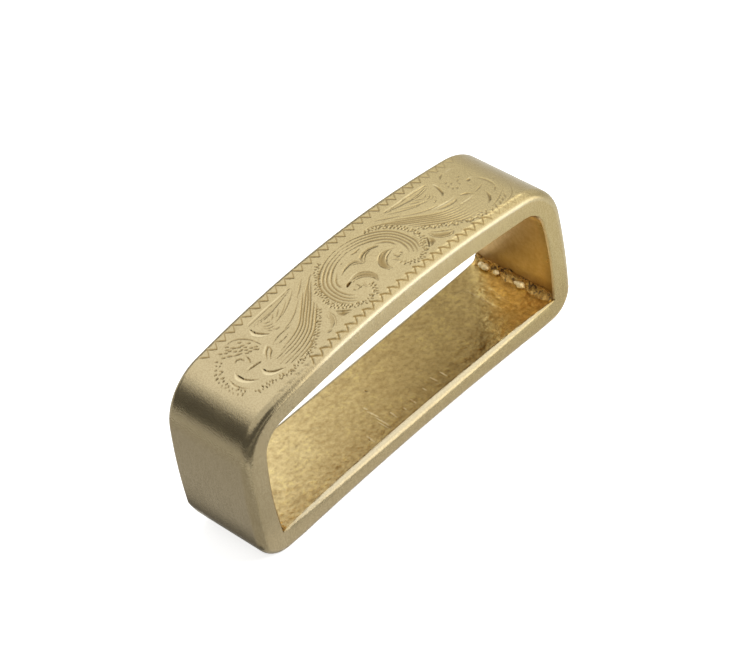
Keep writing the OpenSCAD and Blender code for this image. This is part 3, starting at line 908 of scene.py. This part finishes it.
# An output socket in a material; sums on it add Math nodes
class Signal:
    def __init__(self, tree, socket):
        self.tree, self.socket = tree, socket

    # A node with its settings, then the values or links of its inputs; stops are a ramp's places and colours,
    # its two ends first
    def node(self, kind, settings=None, inputs=None, output=0):
        made = self.tree.nodes.new(kind)
        for name, value in (settings or {}).items():
            if name == "stops":
                ramp = made.color_ramp
                for n, (place, shade) in enumerate(value):
                    stop = ramp.elements[n] if n < 2 else ramp.elements.new(place)
                    stop.position, stop.color = place, shade
            else:
                setattr(made, name, value)
        for name, value in (inputs or {}).items():
            if isinstance(value, Signal):
                self.tree.links.new(value.socket, made.inputs[name])
            else:
                made.inputs[name].default_value = value
        return Signal(self.tree, made.outputs[output])

    def maths(self, operation, a, b):
        return self.node("ShaderNodeMath", {"operation": operation}, {0: a, 1: b})

    def absolute(self):
        return self.node("ShaderNodeMath", {"operation": "ABSOLUTE"}, {0: self})

    def __add__(self, other):
        return self.maths("ADD", self, other)

    def __radd__(self, other):
        return self.maths("ADD", other, self)

    def __sub__(self, other):
        return self.maths("SUBTRACT", self, other)

    def __rsub__(self, other):
        return self.maths("SUBTRACT", other, self)

    def __mul__(self, other):
        return self.maths("MULTIPLY", self, other)

    # Another output of the same node
    def output(self, name):
        return Signal(self.tree, self.socket.node.outputs[name])

    def attribute(self, name):
        return self.node("ShaderNodeAttribute", {"attribute_name": name}, {}, 2)

    def noise(self, scale, detail=2.0, roughness=0.5):
        inputs = {"Vector": self, "Scale": scale, "Detail": detail, "Roughness": roughness}
        return self.node("ShaderNodeTexNoise", {}, inputs)

    def stretched(self, scale):
        return self.node("ShaderNodeMapping", {}, {"Vector": self, "Scale": scale})

    # A value brought from its own range to the range low to high
    def spread(self, low, high, fromLow=0.35, fromHigh=0.65):
        inputs = {"Value": self, "From Min": fromLow, "From Max": fromHigh, "To Min": low, "To Max": high}
        return self.node("ShaderNodeMapRange", {}, inputs)

    def clamped(self):
        return self.node("ShaderNodeClamp", {}, {0: self})

    def ramp(self, stops):
        return self.node("ShaderNodeValToRGB", {"stops": stops}, {0: self})

    # Colour a to colour b, as this mask goes from 0 to 1
    def mixed(self, a, b):
        return self.node("ShaderNodeMix", {"data_type": "RGBA"}, {0: self, 6: a, 7: b}, 2)

    # This colour times another
    def filtered(self, other):
        settings = {"data_type": "RGBA", "blend_type": "MULTIPLY"}
        return self.node("ShaderNodeMix", settings, {0: 1.0, 6: self, 7: other}, 2)


def newMaterial(name):
    material = bpy.data.materials.new(name)
    material.use_nodes = True
    shader = material.node_tree.nodes["Principled BSDF"]
    return material, shader, Signal(material.node_tree, shader.outputs[0])


# Links signals to a node's inputs
def feed(node, signals):
    for name, signal in signals.items():
        signal.tree.links.new(signal.socket, node.inputs[name])


white = (1, 1, 1, 1)
brass = {
    "polished": (0.445, 0.365, 0.215, 1),
    "dulled": (0.38, 0.305, 0.17, 1),
    # in the grooves: tarnish with painted shade
    "inGrooves": (0.205, 0.135, 0.045, 1),
    # painted highlight colours, on bright cuts and on the front edges
    "cutHighlight": (0.68, 0.58, 0.36, 1),
    "paleHighlight": (0.64, 0.6, 0.47, 1),
    "roughness": 0.22,
    "tint": [(0.0, (0.97, 0.98, 1.0, 1)), (1.0, (1, 0.975, 0.78, 1)), (0.5, (0.99, 0.98, 0.9, 1))],
    "cloudScale": 420,
    "grain": 0.34,
    "grainScale": 6500,
    "brushed": 0.12,
    "brushScale": (9000, 9000, 450),
    "wrinkleScale": 1700,
    "patchScale": 480,
    "veinScale": 900,
    "speckScale": 2300,
    "faceFrom": (0.0155, 0.0175),  # the grain is calmer on the engraved face, above this height
    "bumpDistance": 0.05 * mm,
}
engravedFinish = {
    "name": "engravedBrass",
    "light": (0.82, 0.585, 0.27, 1),  # the skin's colours inside the slot
    "dark": (0.67, 0.445, 0.18, 1),
    "relief": 0.3,
    "floorShade": [(0.0, white), (1.0, white)],
    # painted shade towards the foot of each leg, above the solder
    "legShade": [(0.0, (0.3, 0.25, 0.2, 1)), (1.0, white), (0.23, (0.4, 0.33, 0.26, 1)),
              (0.33, (0.9, 0.88, 0.86, 1))],
}
plainFinish = {
    "name": "plainBrass",
    "light": (0.78, 0.62, 0.31, 1),
    "dark": (0.5, 0.37, 0.165, 1),
    "relief": 1.0,
    # painted shade along the floor, darkest before the right leg, with painted light past it
    "floorShade": [(0.0, (0.95, 0.97, 1, 1)), (1.0, (1.25, 1.2, 0.95, 1)), (0.3, (0.64, 0.62, 0.57, 1)),
                   (0.5, (0.5, 0.465, 0.38, 1)), (0.72, (0.375, 0.34, 0.25, 1)),
                   (0.85, (0.42, 0.38, 0.28, 1)), (0.91, (1.1, 1.08, 0.88, 1))],
    "legShade": [(0.0, white), (1.0, white)],
}


def toned(colour, red, green, blue):
    return colour[0] * red, colour[1] * green, colour[2] * blue, 1


# Satin outside and, where raw is 1, a rough skin with painted shade along the floor and towards the foot of
# each leg
def makeBrass(finish):
    material, shader, start = newMaterial(finish["name"])
    light, dark, relief = finish["light"], finish["dark"], finish["relief"]
    place = start.node("ShaderNodeTexCoord", {}, {}, 3)
    px = place.node("ShaderNodeSeparateXYZ", {}, {0: place})
    py, pz = px.output("Y"), px.output("Z")
    cut, raw = start.attribute("cut"), start.attribute("raw")
    groove, shine = (cut * 0.95).clamped(), (cut * -1).clamped()

    cloud = place.noise(brass["cloudScale"], 3).spread(0, 1)
    grain = place.noise(brass["grainScale"], 1)
    brushed = place.stretched(brass["brushScale"]).noise(1, 2)
    speckle = grain.spread(-0.5, 1.1, 0.38, 0.62) + brushed.spread(-0.35, 0.55, 0.38, 0.62)
    polished = (cloud * 0.25 + speckle * pz.spread(1.2, 0.5, *brass["faceFrom"])).mixed(
        brass["polished"], brass["dulled"])
    polished = polished.filtered(px.spread(0, 1, -0.022, 0.022).ramp(brass["tint"]))

    wrinkle = place.noise(brass["wrinkleScale"], 4, 0.66)
    patch = place.noise(brass["patchScale"], 2).spread(0, 1, 0.4, 0.62)
    specks = place.noise(brass["speckScale"], 3, 0.6)
    vein = (place.noise(brass["veinScale"], 3, 0.6) - 0.5).absolute().spread(1, 0, 0.0, 0.016)
    skin = (wrinkle.spread(0, 0.75, 0.35, 0.65) + patch * 0.25).mixed(dark, light)
    skin = (specks.spread(0, 0.7, 0.52, 0.64) * patch * relief).mixed(skin, toned(light, 1.1, 1.12, 0.95))
    skin = (specks.spread(0.25, 0, 0.36, 0.46) * relief).mixed(skin, toned(dark, 0.6, 0.55, 0.5))
    skin = (vein * relief * 0.16).mixed(skin, toned(dark, 0.4, 0.35, 0.3))
    # painted shade: along a slanted line over the floor, and towards the foot of the legs
    skin = skin.filtered((px - py * 0.82).spread(0, 1, -0.02, 0.02).ramp(finish["floorShade"]))
    skin = skin.filtered(pz.spread(0, 1, 0.0, 0.016).ramp(finish["legShade"]))

    # painted highlight colour: paler on the front edges, brighter brass elsewhere
    highlightColour = py.spread(1, 0, -0.0049, -0.0045).mixed(brass["cutHighlight"], brass["paleHighlight"])
    colour = groove.mixed(shine.mixed(raw.mixed(polished, skin), highlightColour), brass["inGrooves"])
    rough = brass["roughness"] + cloud * 0.05 + raw * 0.06 - groove * 0.04
    height = (grain * brass["grain"] + brushed * brass["brushed"]) * (1 - raw)
    height *= pz.spread(1.2, 0.85, *brass["faceFrom"])
    height += raw * relief * px.spread(2, 1, -0.02, -0.008) * (wrinkle * (0.45 + patch * 0.5) + specks * 0.35)
    inputs = {"Strength": 0.8, "Distance": brass["bumpDistance"], "Height": height}
    bump = start.node("ShaderNodeBump", {}, inputs)
    feed(shader, {"Base Color": colour, "Roughness": rough, "Normal": bump})
    shader.inputs["Metallic"].default_value = 1.0
    return material


solder = {
    "crust": (0.48, 0.29, 0.08, 1),
    "specks": (0.8, 0.56, 0.2, 1),
    "soot": (0.1, 0.065, 0.04, 1),
    "bead": (1.0, 0.85, 0.5, 1),
    "beadDull": (0.9, 0.66, 0.3, 1),
    "roughness": 0.48,
    "lumpScale": 2600,
    "sootScale": 2100,
    "bumpDistance": 0.06 * mm,
}


# Dark crust with specks of gold; the beads, where pale is 1, are nearly white
def makeSolder():
    material, shader, start = newMaterial("hardSolder")
    place = start.node("ShaderNodeTexCoord", {}, {}, 3)
    pale, high = start.attribute("pale"), start.attribute("high")
    lumps = place.noise(solder["lumpScale"], 3, 0.65)
    soot = place.noise(solder["sootScale"], 2).spread(0, 1, 0.54, 0.62)
    crust = lumps.spread(0, 1, 0.44, 0.58).mixed(solder["crust"], solder["specks"])
    crust = (soot * (0.35 + high * 0.7)).mixed(crust, solder["soot"])
    bead = lumps.spread(0, 0.6, 0.5, 0.75).mixed(solder["bead"], solder["beadDull"])
    inputs = {"Strength": 0.8, "Distance": solder["bumpDistance"], "Height": lumps * (1.3 - pale * 1.1)}
    bump = start.node("ShaderNodeBump", {}, inputs)
    feed(shader, {"Base Color": pale.mixed(crust, bead), "Roughness": solder["roughness"] + lumps * 0.1,
                  "Metallic": 1 - pale * 0.35, "Normal": bump})
    return material


# The floor and the world glow towards the camera and a little into mirrors, and light the ring softly
floorPlan = {"size": 3, "colour": (0.8, 0.8, 0.79, 1), "glow": 0.75, "mirrored": 0.08}
worldStrength = (0.35, 1.0)  # as light, and as seen
lamps = {  # direction, distance and size in metres, radiance, and whether the metal mirrors the lamp
    "softbox": ((0.18, 0.55, 0.8), 0.5, 0.7, 0.53, True),
    "overhead": ((0.6, -0.25, 0.75), 0.5, 0.5, 0.5, True),
    "keyLight": ((0.35, 0.5, 0.79), 0.6, 0.3, 4.5, False),
    "frontFill": ((0.24, -0.75, 0.6), 0.08, 0.04, 11, False),
    "lowLamp": ((0.735, 0.19, 0.65), 0.5, 0.2, 1.15, True),
    "stripLamp": ((0.469, -0.437, 0.767), 0.5, 0.14, 0.9, True),
}
darkFelt = {"radius": 0.35, "height": 0.24, "middle": 0.14, "from": -165, "to": 17}
sheets = {  # middle, facing, width, height, radiance and grey; only the metal sees them
    "bounceCard": ((0.0405, -0.043, 0.055), (0.1, 1, 0), 0.089, 0.07, 1.62, 0.0),
    "lowCard": ((0.0405, -0.041, 0.01), (0.1, 1, 0), 0.085, 0.02, 2.4, 0.0),
    "endFelt": ((0.237, 0.183, 0.02), (-0.79, -0.61, 0), 0.2, 0.12, 0.86, 0.0),
    "frontMat": ((-0.017, -0.031, 0.0002), (0, 0, 1), 0.026, 0.014, 0.35, 0.0),
    "lowFelt": ((-0.13, -0.034, 0.006), (0, 1, 0), 0.25, 0.012, 0.1, 0.05),
    "leftMat": ((-0.04, 0.008, 0.0002), (0, 0, 1), 0.034, 0.05, 0.6, 0.0),
    # a dark sheet on the floor by the left foot, a painted contact shadow that only the metal mirrors
    "footShadowSheet": ((-0.0237, 0.002, 0.0004), (0, 0, 1), 0.0018, 0.015, 0.2, 0.0),
    "frontCard": ((0.003, -0.0073, 0.0003), (0, 0, 1), 0.05, 0.0034, 0.95, 0.0),
    "backFelt": ((0.11, 0.36, 0.13), (-0.28, -0.89, -0.3), 0.34, 0.2, 0.35, 0.05),
}


def makeFloor():
    bpy.ops.object.select_all(action="DESELECT")
    bpy.ops.mesh.primitive_plane_add(size=floorPlan["size"], location=(0, 0, 0))
    floor = bpy.context.object
    floor.name = "floor"
    material, shader, start = newMaterial("paleFloor")
    tree = material.node_tree
    seen = start.node("ShaderNodeLightPath")
    inMirrors = seen.output("Is Glossy Ray") + seen.output("Is Transmission Ray")
    strength = seen * floorPlan["glow"] + inMirrors * floorPlan["mirrored"]
    matt = start.node("ShaderNodeBsdfDiffuse", {}, {"Color": floorPlan["colour"]})
    glow = start.node("ShaderNodeEmission", {}, {"Color": white, "Strength": strength})
    added = start.node("ShaderNodeAddShader", {}, {0: matt, 1: glow})
    feed(tree.nodes["Material Output"], {"Surface": added})
    tree.nodes.remove(shader)
    floor.data.materials.append(material)


def makeWorld():
    world = bpy.data.worlds.new("studio")
    world.use_nodes = True
    bpy.context.scene.world = world
    background = world.node_tree.nodes["Background"]
    seen = Signal(world.node_tree, background.outputs[0]).node("ShaderNodeLightPath")
    mask = seen + seen.output("Is Glossy Ray") + seen.output("Is Transmission Ray")
    feed(background, {"Strength": mask.spread(*worldStrength, 0, 1)})
    background.inputs["Color"].default_value = white


def makeLamp(name, direction, distance, size, radiance, mirrorable):
    towards = Vector(direction).normalized()
    data = bpy.data.lights.new(name, "AREA")
    data.shape, data.size = "DISK", size
    data.energy = radiance * math.pi * math.pi * (size / 2) ** 2
    lamp = bpy.data.objects.new(name, data)
    lamp.location = Vector((0, 0, 0.01)) + towards * distance
    lamp.rotation_mode = "QUATERNION"
    lamp.rotation_quaternion = towards.to_track_quat("Z", "Y")
    lamp.visible_camera = False
    lamp.visible_glossy = mirrorable
    bpy.context.collection.objects.link(lamp)


# Gives a card or felt its finish; it casts no shadow and lights nothing but what mirrors it
def dressSheet(sheet, name, radiance, grey):
    sheet.name = name
    material, shader = newMaterial(name + "Finish")[:2]
    shader.inputs["Base Color"].default_value = (grey, grey, grey, 1)
    shader.inputs["Roughness"].default_value = 1.0
    shader.inputs["Emission Color"].default_value = (1, 0.98, 0.95, 1)
    shader.inputs["Emission Strength"].default_value = radiance
    sheet.data.materials.append(material)
    sheet.visible_camera = False
    sheet.visible_shadow = False
    sheet.visible_diffuse = False


# Dark felt round the left side, from the back to the front
def makeFelt():
    bpy.ops.object.select_all(action="DESELECT")
    bpy.ops.mesh.primitive_cylinder_add(
        vertices=72, radius=darkFelt["radius"], depth=darkFelt["height"], end_fill_type="NOTHING",
        location=(0, 0, darkFelt["middle"]))
    felt = bpy.context.object
    bpy.ops.object.mode_set(mode="EDIT")
    bpy.ops.mesh.select_all(action="DESELECT")
    bpy.ops.object.mode_set(mode="OBJECT")
    for vertex in felt.data.vertices:
        azimuth = math.degrees(math.atan2(vertex.co.x, -vertex.co.y))
        vertex.select = not darkFelt["from"] < azimuth < darkFelt["to"]
    bpy.ops.object.mode_set(mode="EDIT")
    bpy.ops.mesh.delete(type="VERT")
    bpy.ops.object.mode_set(mode="OBJECT")
    dressSheet(felt, "darkFelt", 0.1, 0.05)


def makeSheet(name, middle, facing, width, height, radiance, grey):
    bpy.ops.object.select_all(action="DESELECT")
    bpy.ops.mesh.primitive_plane_add(size=1)
    sheet = bpy.context.object
    turn = Vector(facing).to_track_quat("Z", "Y").to_matrix().to_4x4()
    sheet.data.transform(Matrix.Translation(middle) @ turn @ Matrix.Diagonal((width, height, 1, 1)))
    dressSheet(sheet, name, radiance, grey)


# Angles in degrees round the ring, lengths in millimetres; across and up shift the camera in its own plane
view = {
    "azimuth": -39.3851,
    "elevation": 42.3473,
    "roll": -10.7086,
    "distance": 298.4601,
    "across": -1.2526,
    "up": 7.5685,
    "sensor": 36.0,
    "lens": 142.344,
}


def makeCamera():
    azimuth, elevation, roll = (math.radians(view[name]) for name in ("azimuth", "elevation", "roll"))
    level = math.cos(elevation)
    back = Vector((math.sin(azimuth) * level, -math.cos(azimuth) * level, math.sin(elevation)))
    sideways = (-back).cross(Vector((0, 0, 1))).normalized()
    upright = sideways.cross(-back)
    right = math.cos(roll) * sideways + math.sin(roll) * upright
    up = math.cos(roll) * upright - math.sin(roll) * sideways
    data = bpy.data.cameras.new("camera")
    camera = bpy.data.objects.new("camera", data)
    bpy.context.collection.objects.link(camera)
    place = (right * view["across"] + up * view["up"] + back * view["distance"]) * mm
    camera.matrix_world = Matrix((
        (right.x, up.x, back.x, place.x),
        (right.y, up.y, back.y, place.y),
        (right.z, up.z, back.z, place.z),
        (0, 0, 0, 1),
    ))
    data.sensor_fit = "HORIZONTAL"
    data.sensor_width = view["sensor"]
    data.lens = view["lens"]
    data.clip_start, data.clip_end = 0.01, 10
    bpy.context.scene.camera = camera


makeCamera()
print("camera set")
makeFloor()
makeWorld()
for name, lamp in lamps.items():
    makeLamp(name, *lamp)
makeFelt()
for name, sheet in sheets.items():
    makeSheet(name, *sheet)
print("floor and lamps set")
bridge = makeBridge()
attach(bridge, "root")
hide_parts("bridge_strip")
bridge.data.materials.clear()
bridge.data.materials.append(makeBrass(engravedFinish))
print("bridge", len(bridge.data.polygons), "faces")
bar = makeBar()
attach(bar, "root")
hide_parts("back_bar")
bar.data.materials.clear()
bar.data.materials.append(makeBrass(plainFinish))
print("back bar", len(bar.data.polygons), "faces")
solderFinish = makeSolder()
for name, node, side, beads in (
    ("rightJoint", "right_solder_joint", 1, "rightBeads"),
    ("leftJoint", "left_solder_joint", -1, "leftBeads"),
):
    joint = makeJoint(name, side, seamSolder[beads])
    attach(joint, "root")
    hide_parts(node)
    joint.data.materials.clear()
    joint.data.materials.append(solderFinish)
    print(name, len(joint.data.polygons), "faces")

bpy.context.scene.view_settings.view_transform = "Standard"
